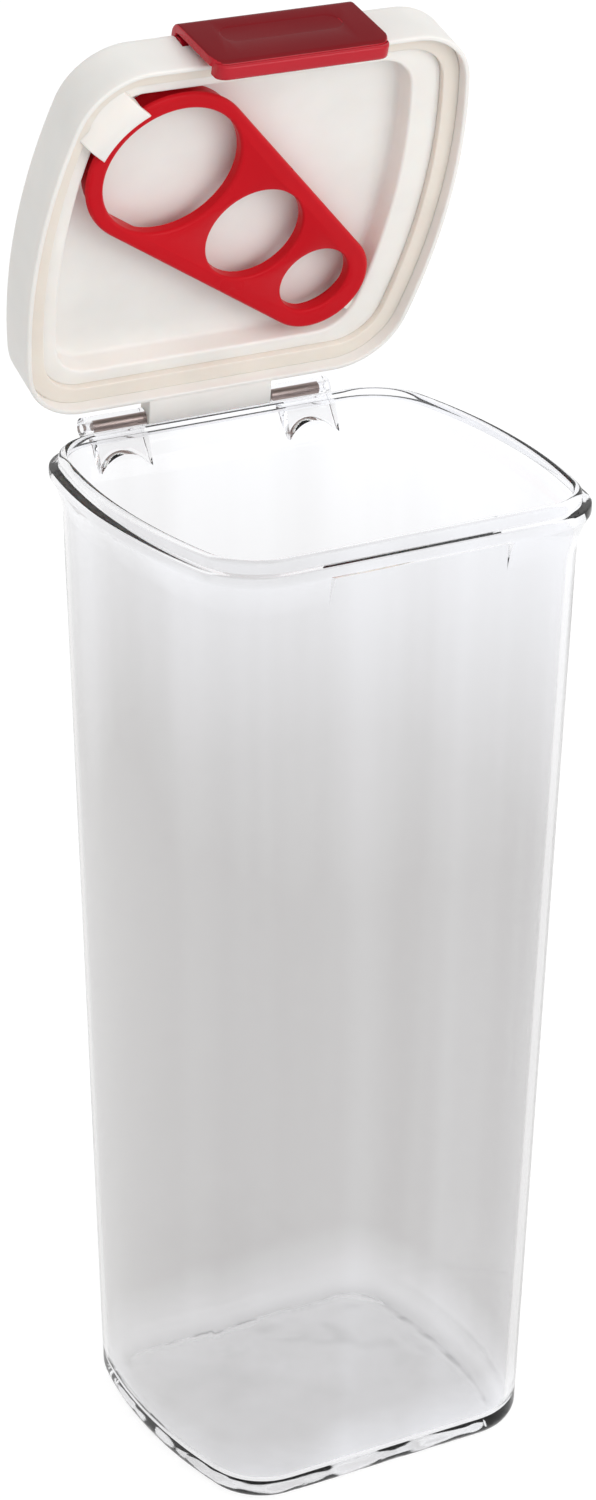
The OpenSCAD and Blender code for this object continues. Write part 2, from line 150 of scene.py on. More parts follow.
@dataclass
class Skin:
    """A skin lofted through sections with bmesh operators.

    Args:
        side: steps along half of a bulged side.
        corner: steps round a corner.
        flat: steps along half of the straight front.
    """

    side: int = 7
    corner: int = 14
    flat: int = 4
    bm: bmesh.types.BMesh = field(default_factory=bmesh.new)
    first: list = field(default_factory=list)
    last: list = field(default_factory=list)

    def loop(self, shape: Section, z: float, x: float = 0.0) -> list:
        """Draws one section at height z by spinning a point round its arcs.

        Args:
            shape: the section.
            z: its height.
            x: how far its middle lies to the right.

        Returns:
            The section's edges.
        """
        bm = self.bm
        cx = shape.half_w - shape.bulge - shape.radius
        cy = shape.half_d - shape.radius
        big = (cy * cy + shape.bulge**2) / (2 * shape.bulge)
        turn = math.asin(cy / big)
        before = set(bm.verts)
        start = bmesh.ops.create_vert(bm, co=(shape.half_w * MM, 0, z * MM))["vert"]
        arcs = (
            ((cx + shape.bulge - big, 0), turn, self.side),
            ((cx, cy), math.pi / 2 - turn, self.corner),
        )
        tip = start
        for (px, py), angle, steps in arcs:
            centre = (px * MM, py * MM, z * MM)
            spun = bmesh.ops.spin(bm, geom=tip, cent=centre, axis=(0, 0, 1), angle=angle, steps=steps)
            tip = [v for v in spun["geom_last"] if isinstance(v, bmesh.types.BMVert)]
        for _ in range(self.flat):
            grown = bmesh.ops.extrude_vert_indiv(bm, verts=tip)
            tip = grown["verts"]
            bmesh.ops.translate(bm, verts=tip, vec=(-cx * MM / self.flat, 0, 0))
        for axis, centre in (("X", 0), ("Y", 1)):
            quarter = [v for v in bm.verts if v not in before]
            geom = quarter + list({e for v in quarter for e in v.link_edges})
            bmesh.ops.mirror(bm, geom=geom, matrix=Matrix.Identity(4), merge_dist=SAME_PLACE, axis=axis)
        ring = [v for v in bm.verts if v not in before]
        bmesh.ops.remove_doubles(bm, verts=ring, dist=SAME_PLACE)
        ring = [v for v in bm.verts if v not in before]
        bmesh.ops.translate(bm, verts=ring, vec=(x * MM, 0, 0))
        return list({e for v in ring for e in v.link_edges})

    def to(self, shape: Section, z: float, x: float = 0.0) -> "Skin":
        """Carries the skin on to the next section.

        Args:
            shape: the section.
            z: its height.
            x: how far its middle lies to the right.

        Returns:
            The skin, so that calls can be chained.
        """
        edges = self.loop(shape, z, x)
        if self.last:
            bridge(self.bm, self.last, edges, Vector((0, 0, HOLD_OFF)))
        else:
            self.first = edges
        self.last = edges
        return self

    def cap(self) -> "Skin":
        """Closes the last section with a flat face."""
        bmesh.ops.contextual_create(self.bm, geom=self.last)
        return self

    def join_ends(self) -> "Skin":
        """Joins the last section to the first, as on a ring."""
        bridge(self.bm, self.first, self.last, Vector((0, 0, HOLD_OFF)))
        return self


def to_object(bm: bmesh.types.BMesh, name: str) -> bpy.types.Object:
    """Makes a finished object of a bmesh, with its place in its mesh.

    Args:
        bm: the shape; it is freed.
        name: the object's name.

    Returns:
        The new object.
    """
    bmesh.ops.recalc_face_normals(bm, faces=bm.faces)
    mesh = bpy.data.meshes.new(name)
    bm.to_mesh(mesh)
    bm.free()
    obj = bpy.data.objects.new(name, mesh)
    bpy.context.scene.collection.objects.link(obj)
    shade(obj)
    return obj


def shade(obj: bpy.types.Object) -> None:
    """Shades a mesh smooth, with sharp edges where it turns by more than SMOOTH_ANGLE degrees.

    Args:
        obj: the piece.
    """
    bm = bmesh.new()
    bm.from_mesh(obj.data)
    limit = math.radians(SMOOTH_ANGLE)
    for face in bm.faces:
        face.smooth = True
    for edge in bm.edges:
        edge.smooth = not (len(edge.link_faces) == 2 and edge.calc_face_angle(0.0) > limit)
    bm.to_mesh(obj.data)
    bm.free()


def box(bm: bmesh.types.BMesh, low: tuple, high: tuple) -> list:
    """Adds a box.

    Args:
        bm: the shape it is added to.
        low: its lowest corner (mm).
        high: its highest corner (mm).

    Returns:
        Its vertices.
    """
    size = [(h - l) * MM for l, h in zip(low, high)]
    middle = [(h + l) / 2 * MM for l, h in zip(low, high)]
    matrix = Matrix.Translation(middle) @ Matrix.Diagonal((*size, 1))
    return bmesh.ops.create_cube(bm, size=1, matrix=matrix)["verts"]


def rod(
    bm: bmesh.types.BMesh, x0: float, x1: float, y: float, z: float, radius: float, segments: int = 48
) -> list:
    """Adds a rod along X.

    Args:
        bm: the shape it is added to.
        x0: where it starts (mm).
        x1: where it ends (mm).
        y: where its axis lies (mm).
        z: the height of its axis (mm).
        radius: its radius (mm).
        segments: how many sides it has.

    Returns:
        Its vertices.
    """
    matrix = Matrix.Translation(((x0 + x1) / 2 * MM, y * MM, z * MM)) @ Matrix.Rotation(math.pi / 2, 4, "Y")
    made = bmesh.ops.create_cone(
        bm,
        cap_ends=True,
        segments=segments,
        radius1=radius * MM,
        radius2=radius * MM,
        depth=abs(x1 - x0) * MM,
        matrix=matrix,
    )
    return made["verts"]


def plate(bm: bmesh.types.BMesh, outline: list, x0: float, x1: float) -> list:
    """Extrudes an outline along X.

    Args:
        bm: the shape it is added to.
        outline: (y, z) points (mm).
        x0: where it starts (mm).
        x1: where it ends (mm).

    Returns:
        Its vertices.
    """
    verts = [bmesh.ops.create_vert(bm, co=(x0 * MM, y * MM, z * MM))["vert"][0] for y, z in outline]
    face = bm.faces.new(verts)
    grown = bmesh.ops.extrude_face_region(bm, geom=[face], use_keep_orig=True)
    moved = [v for v in grown["geom"] if isinstance(v, bmesh.types.BMVert)]
    bmesh.ops.translate(bm, verts=moved, vec=((x1 - x0) * MM, 0, 0))
    return verts + moved


def soften(bm: bmesh.types.BMesh, edges: list, width: float, segments: int = 3) -> None:
    """Rounds edges of a shape.

    Args:
        bm: the shape.
        edges: its edges that are rounded.
        width: how wide the rounding is (mm).
        segments: how many faces it has across.
    """
    bmesh.ops.bevel(
        bm,
        geom=edges,
        offset=width * MM,
        offset_type="OFFSET",
        segments=segments,
        profile=0.5,
        affect="EDGES",
        material=-1,
    )


def end_rims(bm: bmesh.types.BMesh) -> list:
    """Returns the edges round the flat ends of a rod."""
    return [e for e in bm.edges if len(e.link_faces) == 2 and e.calc_face_angle() > 1.0]


def combine(obj: bpy.types.Object, tools: list[tuple[bmesh.types.BMesh, Join]]) -> bpy.types.Object:
    """Joins or cuts a piece with other shapes and keeps one clean mesh.

    Args:
        obj: the piece.
        tools: pairs of a shape and what it does.

    Returns:
        The piece.
    """
    helpers = []
    for i, (bm, join) in enumerate(tools):
        helper = to_object(bm, f"{obj.name}_tool_{i}")
        helpers.append(helper)
        modifier = obj.modifiers.new(f"tool_{i}", "BOOLEAN")
        modifier.object = helper
        modifier.operation = join.value
        modifier.solver = "EXACT"
    graph = bpy.context.evaluated_depsgraph_get()
    mesh = bpy.data.meshes.new_from_object(obj.evaluated_get(graph))
    obj.modifiers.clear()
    old = obj.data
    obj.data = mesh
    bpy.data.meshes.remove(old)
    for helper in helpers:
        data = helper.data
        bpy.data.objects.remove(helper)
        bpy.data.meshes.remove(data)
    bm = bmesh.new()
    bm.from_mesh(obj.data)
    bmesh.ops.remove_doubles(bm, verts=bm.verts, dist=BOOLEAN_MERGE)
    bmesh.ops.dissolve_degenerate(bm, edges=bm.edges, dist=BOOLEAN_MERGE)
    bm.to_mesh(obj.data)
    bm.free()
    shade(obj)
    return obj


def carved(bm: bmesh.types.BMesh, cutters: list[bmesh.types.BMesh]) -> bmesh.types.BMesh:
    """Cuts shapes out of another and returns the result as one shape.

    Args:
        bm: the shape that is cut; it is freed.
        cutters: what is taken away.

    Returns:
        The new shape.
    """
    obj = combine(to_object(bm, "carved"), [(cutter, Join.CUT) for cutter in cutters])
    cut = bmesh.new()
    cut.from_mesh(obj.data)
    data = obj.data
    bpy.data.objects.remove(obj)
    bpy.data.meshes.remove(data)
    return cut


@dataclass(frozen=True)
class Finish:
    """One moulded plastic, rubber or metal finish."""

    name: str
    color: tuple[float, float, float]
    roughness: float
    metallic: float = 0.0
    coat: float = 0.0
    subsurface: float = 0.0
    specular: float = 0.5
    tint: float = 0.03
    tint_scale: float = 60.0
    grain: float = 0.02
    grain_scale: float = 900.0

    def material(self, effects: "Effects") -> bpy.types.Material:
        """Builds the finish as a node material.

        Args:
            effects: the shared node groups.

        Returns:
            The material.
        """
        material = bpy.data.materials.new(self.name)
        material.use_nodes = True
        tree = material.node_tree
        shader = tree.nodes["Principled BSDF"]
        place = tree.nodes.new("ShaderNodeTexCoord")
        moulded = tree.nodes.new("ShaderNodeGroup")
        moulded.node_tree = effects.moulded
        for name, value in (
            ("Color", (*self.color, 1)),
            ("Tint", self.tint),
            ("Tint Scale", self.tint_scale),
            ("Roughness", self.roughness),
            ("Grain Scale", self.grain_scale),
        ):
            moulded.inputs[name].default_value = value
        bump = tree.nodes.new("ShaderNodeBump")
        bump.inputs["Strength"].default_value = self.grain
        bump.inputs["Distance"].default_value = 0.0002
        tree.links.new(place.outputs["Object"], moulded.inputs["Vector"])
        tree.links.new(moulded.outputs["Color"], shader.inputs["Base Color"])
        tree.links.new(moulded.outputs["Roughness"], shader.inputs["Roughness"])
        tree.links.new(moulded.outputs["Height"], bump.inputs["Height"])
        tree.links.new(bump.outputs["Normal"], shader.inputs["Normal"])
        shader.inputs["Metallic"].default_value = self.metallic
        shader.inputs["Specular IOR Level"].default_value = self.specular
        shader.inputs["Coat Weight"].default_value = self.coat
        shader.inputs["Coat Roughness"].default_value = 0.06
        shader.inputs["Subsurface Weight"].default_value = self.subsurface
        shader.inputs["Subsurface Radius"].default_value = (0.004, 0.0025, 0.002)
        shader.inputs["Subsurface Scale"].default_value = 1.0
        return material


@dataclass
class Effects:
    """Node groups that more than one material uses."""

    moulded: bpy.types.NodeTree = field(init=False)

    def __post_init__(self) -> None:
        """Builds the groups once."""
        self.moulded = self._moulded()

    def _moulded(self) -> bpy.types.NodeTree:
        """Returns the group for moulded surfaces: slow tint, uneven gloss and a fine grain."""
        tree = bpy.data.node_groups.new("moulded_surface", "ShaderNodeTree")
        face = tree.interface
        face.new_socket("Vector", in_out="INPUT", socket_type="NodeSocketVector")
        face.new_socket("Color", in_out="INPUT", socket_type="NodeSocketColor")
        for name in ("Tint", "Tint Scale", "Roughness", "Grain Scale"):
            face.new_socket(name, in_out="INPUT", socket_type="NodeSocketFloat")
        face.new_socket("Color", in_out="OUTPUT", socket_type="NodeSocketColor")
        face.new_socket("Roughness", in_out="OUTPUT", socket_type="NodeSocketFloat")
        face.new_socket("Height", in_out="OUTPUT", socket_type="NodeSocketFloat")
        nodes, links = tree.nodes, tree.links
        given = nodes.new("NodeGroupInput")
        out = nodes.new("NodeGroupOutput")
        slow = nodes.new("ShaderNodeTexNoise")
        slow.inputs["Detail"].default_value = 2
        fine = nodes.new("ShaderNodeTexNoise")
        fine.inputs["Detail"].default_value = 3
        spread = nodes.new("ShaderNodeMapRange")
        spread.inputs["From Min"].default_value = 0.3
        spread.inputs["From Max"].default_value = 0.7
        spread.inputs["To Min"].default_value = -1
        spread.inputs["To Max"].default_value = 1
        shift = nodes.new("ShaderNodeMath")
        shift.operation = "MULTIPLY_ADD"
        shift.inputs[2].default_value = 1
        hue = nodes.new("ShaderNodeHueSaturation")
        gloss = nodes.new("ShaderNodeMath")
        gloss.operation = "MULTIPLY_ADD"
        gloss.inputs[1].default_value = 0.03
        links.new(given.outputs["Vector"], slow.inputs["Vector"])
        links.new(given.outputs["Tint Scale"], slow.inputs["Scale"])
        links.new(given.outputs["Vector"], fine.inputs["Vector"])
        links.new(given.outputs["Grain Scale"], fine.inputs["Scale"])
        links.new(slow.outputs["Fac"], spread.inputs["Value"])
        links.new(spread.outputs["Result"], shift.inputs[0])
        links.new(given.outputs["Tint"], shift.inputs[1])
        links.new(shift.outputs["Value"], hue.inputs["Value"])
        links.new(given.outputs["Color"], hue.inputs["Color"])
        links.new(spread.outputs["Result"], gloss.inputs[0])
        links.new(given.outputs["Roughness"], gloss.inputs[2])
        links.new(hue.outputs["Color"], out.inputs["Color"])
        links.new(gloss.outputs["Value"], out.inputs["Roughness"])
        links.new(fine.outputs["Fac"], out.inputs["Height"])
        return tree


LID_CREAM = Finish("lid_cream", (0.86, 0.835, 0.80), 0.38, subsurface=0.15, specular=0.3)
# Lighter than the shell's cream: painted light that makes up for the shade inside the lid.
LINER_CREAM_PAINTED_LIGHT = Finish("liner_cream", (0.91, 0.865, 0.82), 0.34, subsurface=0.3, specular=0.3)
# The ring's beige is pale rubber darkened and warmed with painted shade and painted warm bounce light of
# the channel it sits in.
SEAL_PAINTED_SHADE = Finish("seal_rubber", (0.84, 0.76, 0.68), 0.5, subsurface=0.3, specular=0.3)
LATCH_RED = Finish("latch_red", (0.47, 0.006, 0.018), 0.2, coat=0.15, specular=0.2)
LATCH_FACE = Finish("latch_face", (0.20, 0.014, 0.018), 0.2, specular=0.02)
MEASURE_RED = Finish("measure_red", (0.56, 0.007, 0.014), 0.3, coat=0.02, specular=0.07)
# Grey steel coloured brown: the colour is a painted reflection of the cream lid.
STEEL_PAINTED_REFLECTION = Finish("pin_steel", (0.30, 0.235, 0.215), 0.3, metallic=1.0, tint=0.02)


def glass_material(
    name: str, pale: tuple[float, float, float], deep: tuple[float, float, float]
) -> bpy.types.Material:
    """Returns the clear plastic: plain transmission, a colour with painted shade that deepens downwards and
    towards the -X side, faint streaks of painted light and shade, and a painted highlight at the foot.

    Args:
        name: the material's name.
        pale: the colour at the collar, the plastic's own faint tint.
        deep: the colour at the foot, painted shade.

    Returns:
        The material.
    """
    material = bpy.data.materials.new(name)
    material.use_nodes = True
    tree = material.node_tree
    nodes, links = tree.nodes, tree.links
    shader = nodes["Principled BSDF"]
    shader.inputs["Roughness"].default_value = 0.045
    shader.inputs["IOR"].default_value = 1.3
    shader.inputs["Transmission Weight"].default_value = 1.0
    place = nodes.new("ShaderNodeTexCoord")
    axes = nodes.new("ShaderNodeSeparateXYZ")
    links.new(place.outputs["Object"], axes.inputs["Vector"])
    stretch = nodes.new("ShaderNodeMapping")
    stretch.inputs["Scale"].default_value = (46, 46, 1.2)
    streaks = nodes.new("ShaderNodeTexNoise")
    streaks.inputs["Scale"].default_value = 1.0
    streaks.inputs["Detail"].default_value = 2
    share = None
    # Painted light and shade in the colour: the stretched noise gives streaks of painted light and shade,
    # the height term darkens it towards the bottom, the X term darkens the -X side, and the last term
    # lightens the foot as a painted highlight.
    for source, low, high, start, end in (
        (streaks.outputs["Fac"], 0.0, 1.0, -0.4, 0.4),
        (axes.outputs["Z"], 0.275, 0.175, 0.0, 0.95),
        (axes.outputs["X"], 0.055, -0.055, -0.16, 0.24),
        (axes.outputs["Z"], 0.022, 0.004, 0.0, -0.9),
    ):
        span = nodes.new("ShaderNodeMapRange")
        for key, value in (("From Min", low), ("From Max", high), ("To Min", start), ("To Max", end)):
            span.inputs[key].default_value = value
        links.new(source, span.inputs["Value"])
        if share is None:
            share = span.outputs["Result"]
            continue
        joined = nodes.new("ShaderNodeMath")
        joined.operation = "ADD"
        links.new(share, joined.inputs[0])
        links.new(span.outputs["Result"], joined.inputs[1])
        share = joined.outputs["Value"]
    tint = nodes.new("ShaderNodeMix")
    tint.data_type = "RGBA"
    tint.clamp_factor = True
    tint.inputs[6].default_value = (*pale, 1)
    tint.inputs[7].default_value = (*deep, 1)
    waves = nodes.new("ShaderNodeTexNoise")
    waves.inputs["Scale"].default_value = 18
    waves.inputs["Detail"].default_value = 1
    foot = nodes.new("ShaderNodeMapRange")
    foot.inputs["From Min"].default_value = 0.009
    foot.inputs["From Max"].default_value = 0.004
    ripples = nodes.new("ShaderNodeTexNoise")
    ripples.inputs["Scale"].default_value = 55
    ripples.inputs["Detail"].default_value = 1
    swell = nodes.new("ShaderNodeMath")
    swell.operation = "MULTIPLY"
    deeper = nodes.new("ShaderNodeMath")
    deeper.operation = "MULTIPLY_ADD"
    deeper.inputs[1].default_value = 22.0
    bump = nodes.new("ShaderNodeBump")
    bump.inputs["Strength"].default_value = 0.06
    bump.inputs["Distance"].default_value = 0.002
    links.new(axes.outputs["Z"], foot.inputs["Value"])
    links.new(place.outputs["Object"], ripples.inputs["Vector"])
    links.new(ripples.outputs["Fac"], swell.inputs[0])
    links.new(foot.outputs["Result"], swell.inputs[1])
    links.new(swell.outputs["Value"], deeper.inputs[0])
    links.new(waves.outputs["Fac"], deeper.inputs[2])
    links.new(place.outputs["Object"], stretch.inputs["Vector"])
    links.new(stretch.outputs["Vector"], streaks.inputs["Vector"])
    links.new(share, tint.inputs[0])
    links.new(tint.outputs[2], shader.inputs["Base Color"])
    links.new(place.outputs["Object"], waves.inputs["Vector"])
    links.new(deeper.outputs["Value"], bump.inputs["Height"])
    links.new(bump.outputs["Normal"], shader.inputs["Normal"])
    return material


@dataclass
class Container:
    """The clear body: tapered wall, flared collar, sealing neck, hinge barrels (mm)."""

    wall: float = 2.3
    floor: float = 3.2
    foot: float = 0.8
    base_edge: float = 5.0
    flare_h: float = 12.0
    catch: float = 3.2
    ledge_w: float = 2.55
    neck_h: float = 3.3
    barrel_x: float = 18.8
    barrel_l: float = 18.0
    barrel_r: float = 2.9
    bore_r: float = 1.18
    notch_w: float = 51.0

    def build(self) -> bpy.types.Object:
        """Builds the body and returns it, finished."""
        skin = Skin(side=9, corner=16, flat=6)
        wall_top = LEDGE_Z - self.flare_h
        edge = self.base_edge
        inner_floor = self.foot + self.floor
        skin.to(BASE.inset(edge + 7.0), self.foot).cap()
        skin.to(BASE.inset(edge + 4.5), self.foot - 0.15)
        skin.to(BASE.inset(edge + 2.6), 0.2)
        skin.to(BASE.inset(edge + 1.4), 0.0)
        skin.to(BASE.inset(edge), 0.15)
        for i in range(1, 9):
            t = math.radians(90 * i / 8)
            rise = (edge + self.foot - 0.15) * (1 - math.cos(t))
            skin.to(BASE.inset(edge * (1 - math.sin(t))), 0.15 + rise)
        for share in (0.2, 0.4, 0.6, 0.8, 0.95):
            skin.to(BASE.blend(WALL_TOP, share), edge + self.foot + (wall_top - edge - self.foot) * share)
        skin.to(WALL_TOP, wall_top)
        for i in range(1, 11):
            t = i / 10
            skin.to(COLLAR.inset(3.45 * (1 - 0.86 * t**1.6)), wall_top + (self.flare_h - self.catch) * t)
        collar_edge = [(0.12, -2.6), (0.0, -1.9), (0.0, -0.7), (0.12, -0.25), (0.45, -0.02)]
        ledge = [(0.9, 0.0), (2.3, 0.0), (2.47, 0.08), (2.55, 0.3)]
        for inset, z in collar_edge + ledge:
            skin.to(COLLAR.inset(inset), LEDGE_Z + z)
        lip = self.wall / 2
        crest = LEDGE_Z + self.neck_h - lip
        for i in range(9):
            t = math.radians(180 * i / 8)
            skin.to(COLLAR.inset(self.ledge_w + lip * (1 - math.cos(t))), crest + lip * math.sin(t))
        for z in (-3.0, -8.0):
            skin.to(COLLAR.inset(self.ledge_w + self.wall + 0.06 * -z), LEDGE_Z + z)
        skin.to(WALL_TOP.inset(self.wall), wall_top - 2)
        low = inner_floor + edge + 0.6
        for share in (0.8, 0.6, 0.4, 0.2):
            skin.to(BASE.blend(WALL_TOP, share).inset(self.wall), low + (wall_top - low) * share)
        for i in range(8, -1, -1):
            t = math.radians(90 * i / 8)
            inset = self.wall + (edge + 0.6) * (1 - math.sin(t))
            skin.to(BASE.inset(inset), inner_floor + (edge + 0.6) * (1 - math.cos(t)))
        skin.cap()
        obj = to_object(skin.bm, "clear_body")
        tools = []
        for side in (1, -1):
            tools.append((carved(self.hinge(side), [self.arch(side)]), Join.ADD))
            tools.append((self.barrel(side), Join.ADD))
        tools.append((self.bores(), Join.CUT))
        tools.append((self.notch(), Join.CUT))
        combine(obj, tools)
        obj.data.materials.clear()
        # The collar colour is the plastic's faint tint; the foot colour is painted shade.
        clear = glass_material("clear_plastic", (0.945, 0.950, 0.968), (0.715, 0.708, 0.707))
        obj.data.materials.append(clear)
        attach(obj, "base")
        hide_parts("container")
        return obj

    def hinge(self, side: int) -> bmesh.types.BMesh:
        """Returns the bracket that carries one barrel.

        Args:
            side: 1 for +X and -1 for -X.

        Returns:
            The bracket.
        """
        bm = bmesh.new()
        x0, x1 = self.barrel_x + 1.9, self.barrel_x + self.barrel_l - 1.1
        back = COLLAR.half_d
        outline = [
            (back - 4.25, LEDGE_Z - 9.5),
            (back - 1.65, LEDGE_Z - 9.5),
            (HINGE_Y + 1.74, HINGE_Z - 1.74),
            (HINGE_Y - 1.16, HINGE_Z - 2.03),
            (back - 0.9, LEDGE_Z - 1.1),
            (back - 4.25, LEDGE_Z - 2),
        ]
        plate(bm, outline, side * x0, side * x1)
        rims = [e for e in bm.edges if abs(e.verts[0].co.x - e.verts[1].co.x) < SAME_X]
        soften(bm, rims, 0.3, 2)
        return bm

    def arch(self, side: int) -> bmesh.types.BMesh:
        """Returns the cutter of the arch under one bracket.

        Args:
            side: 1 for +X and -1 for -X.

        Returns:
            The cutter.
        """
        bm = bmesh.new()
        middle = side * (self.barrel_x + 0.4 + self.barrel_l / 2)
        radius = 9.2
        rod(bm, -2 * COLLAR.half_d, 2 * COLLAR.half_d, 0, 0, radius, 96)
        move = Matrix.Translation((middle * MM, 0, (LEDGE_Z - 4.5 - radius) * MM))
        turn = Matrix.Rotation(math.pi / 2, 4, "Z")
        bmesh.ops.transform(bm, matrix=move @ turn, verts=bm.verts)
        return bm

    def barrel(self, side: int) -> bmesh.types.BMesh:
        """Returns one round barrel with softened ends.

        Args:
            side: 1 for +X and -1 for -X.

        Returns:
            The barrel.
        """
        bm = bmesh.new()
        x0, x1 = side * self.barrel_x, side * (self.barrel_x + self.barrel_l)
        rod(bm, x0, x1, HINGE_Y, HINGE_Z, self.barrel_r, 56)
        soften(bm, end_rims(bm), 0.3)
        return bm

    def bores(self) -> bmesh.types.BMesh:
        """Returns the cutter of the barrels' bores."""
        bm = bmesh.new()
        for side in (1, -1):
            near, far = self.barrel_x - 1, self.barrel_x + self.barrel_l + 1
            rod(bm, side * near, side * far, HINGE_Y, HINGE_Z, self.bore_r)
        return bm

    def notch(self) -> bmesh.types.BMesh:
        """Returns the cutter of the notch that the latch hooks into."""
        bm = bmesh.new()
        top = LEDGE_Z - self.catch
        half, front = self.notch_w / 2, -COLLAR.half_d
        box(bm, (-half, front - 1, top - 20), (half, front + 3.4, top))
        return bm


@dataclass
class Lid:
    """The lid's outer shell, inner lid and sealing ring, modelled closed and then turned open (mm)."""

    rim_z: float = RIM_Z
    height: float = 16.0
    skirt: float = 1.4
    top: float = 2.2
    edge_r: float = 3.0
    recess: float = 1.0
    recess_in: float = 8.2
    seat_z: float = 278.1
    land_z: float = 275.9
    channel_z: float = 276.3
    channel_w: float = 4.6
    plate_z: float = 282.1
    well_x: float = -2.0
    knuckle_w: float = 36.6
    bay_w: float = 50.8
    bay_r: float = 3.6
    pin_y: float = LATCH_PIN_Y
    pin_z: float = LATCH_PIN_Z
    measure: "Measure" = field(default_factory=lambda: Measure())

    def build(self, effects: "Effects") -> list[bpy.types.Object]:
        """Builds the three pieces, finished.

        Args:
            effects: the shared node groups.

        Returns:
            Shell, liner and gasket.
        """
        made = []
        for obj, node, slot, finish in (
            (self.shell(), "lid_shell", "lid_plastic", LID_CREAM),
            (self.liner(), "lid_liner", "liner_plastic", LINER_CREAM_PAINTED_LIGHT),
            (self.gasket(), "lid_gasket", "seal_rubber", SEAL_PAINTED_SHADE),
        ):
            obj.data.materials.clear()
            obj.data.materials.append(finish.material(effects))
            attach(obj, "lid")
            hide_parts(node)
            made.append(obj)
        return made

    def shell(self) -> bpy.types.Object:
        """Returns the outer shell with the latch's bay and the hinge knuckle."""
        top_z = self.rim_z + self.height
        skin = Skin(side=9, corner=18, flat=6)
        floor_z = top_z - self.recess
        lean = 0.4
        skin.to(COLLAR.inset(self.recess_in + 1.2), floor_z).cap()
        for e, z in arc((self.recess_in + 0.4, floor_z + 0.4), 0.4, 270, 180, 4):
            skin.to(COLLAR.inset(e), z)
        for e, z in arc((self.recess_in - 0.5, top_z - 0.5), 0.5, 0, 90, 4):
            skin.to(COLLAR.inset(e), z)
        skin.to(COLLAR.inset(self.edge_r + lean + 1.5), top_z)
        for e, z in arc((self.edge_r + lean, top_z - self.edge_r), self.edge_r, 90, 180, 9):
            skin.to(COLLAR.inset(e), z)
        skin.to(COLLAR.inset(lean * 0.6), top_z - 8)
        skin.to(COLLAR.inset(0.04), self.rim_z + 2)
        for e, z in arc((0.55, self.rim_z + 0.55), 0.55, 180, 270, 5):
            skin.to(COLLAR.inset(e), z)
        for e, z in arc((self.skirt - 0.45, self.rim_z + 0.45), 0.45, 270, 360, 5):
            skin.to(COLLAR.inset(e), z)
        under = top_z - self.recess - self.top
        skin.to(COLLAR.inset(self.skirt), self.seat_z)
        skin.to(COLLAR.inset(self.skirt + 0.9), self.seat_z)
        skin.to(COLLAR.inset(self.skirt + 1.1), under - 1)
        for e, z in arc((self.skirt + 2.1, under - 1), 1.0, 180, 90, 4)[1:]:
            skin.to(COLLAR.inset(e), z)
        skin.cap()
        obj = to_object(skin.bm, "cream_lid_shell")
        tools = [(self.knuckle(), Join.ADD), (self.bay_block(), Join.ADD), (self.bay_cut(), Join.CUT)]
        combine(obj, tools)
        return self.opened(obj)

    def knuckle(self) -> bmesh.types.BMesh:
        """Returns the rolled knuckle between the barrels with its web to the skirt."""
        bm = bmesh.new()
        radius = 2.9
        back = COLLAR.half_d
        outline = arc((HINGE_Y, HINGE_Z), radius, -90, 90, 16)
        outline += [(back + 2.2, HINGE_Z + radius + 0.5)]
        outline += [(back - 0.7, self.rim_z + 7.4), (back - 0.7, self.rim_z + 0.2)]
        plate(bm, outline, -self.knuckle_w / 2, self.knuckle_w / 2)
        rims = [e for e in bm.edges if e.verts[0].co.x * e.verts[1].co.x > 0]
        soften(bm, rims, 0.35)
        return bm

    def bay_outline(self, grow: float, high: float) -> list:
        """Returns the outline of the latch's bay.

        Args:
            grow: how far outside the bay's own wall it lies (mm).
            high: the height of its upper end (mm).

        Returns:
            (y, z) points.
        """
        radius = self.bay_r + grow
        front = -COLLAR.half_d - 4
        lower = arc((self.pin_y, self.pin_z), radius, -90, 0, 12)
        return [(front, self.pin_z - radius)] + lower + [(self.pin_y + radius, high), (front, high)]

    def bay_block(self) -> bmesh.types.BMesh:
        """Returns the wall of the latch's bay, kept inside the skirt."""
        bm = bmesh.new()
        half = self.bay_w / 2 + 3.4
        radius = self.bay_r + 1.2
        front = -COLLAR.half_d + 1.0
        low, high = self.seat_z + 0.2, self.rim_z + self.height - 1.1
        outline = [(front, low), (self.pin_y + 1.5, low)]
        outline += [p for p in arc((self.pin_y, self.pin_z), radius, -60, 0, 8) if p[1] > low + 0.1]
        outline += [(self.pin_y + radius, high), (front, high)]
        plate(bm, outline, -half, half)
        return bm

    def bay_cut(self) -> bmesh.types.BMesh:
        """Returns the cutter of the latch's bay."""
        bm = bmesh.new()
        outline = self.bay_outline(0.0, self.rim_z + self.height + 1)
        plate(bm, outline, -self.bay_w / 2, self.bay_w / 2)
        return bm

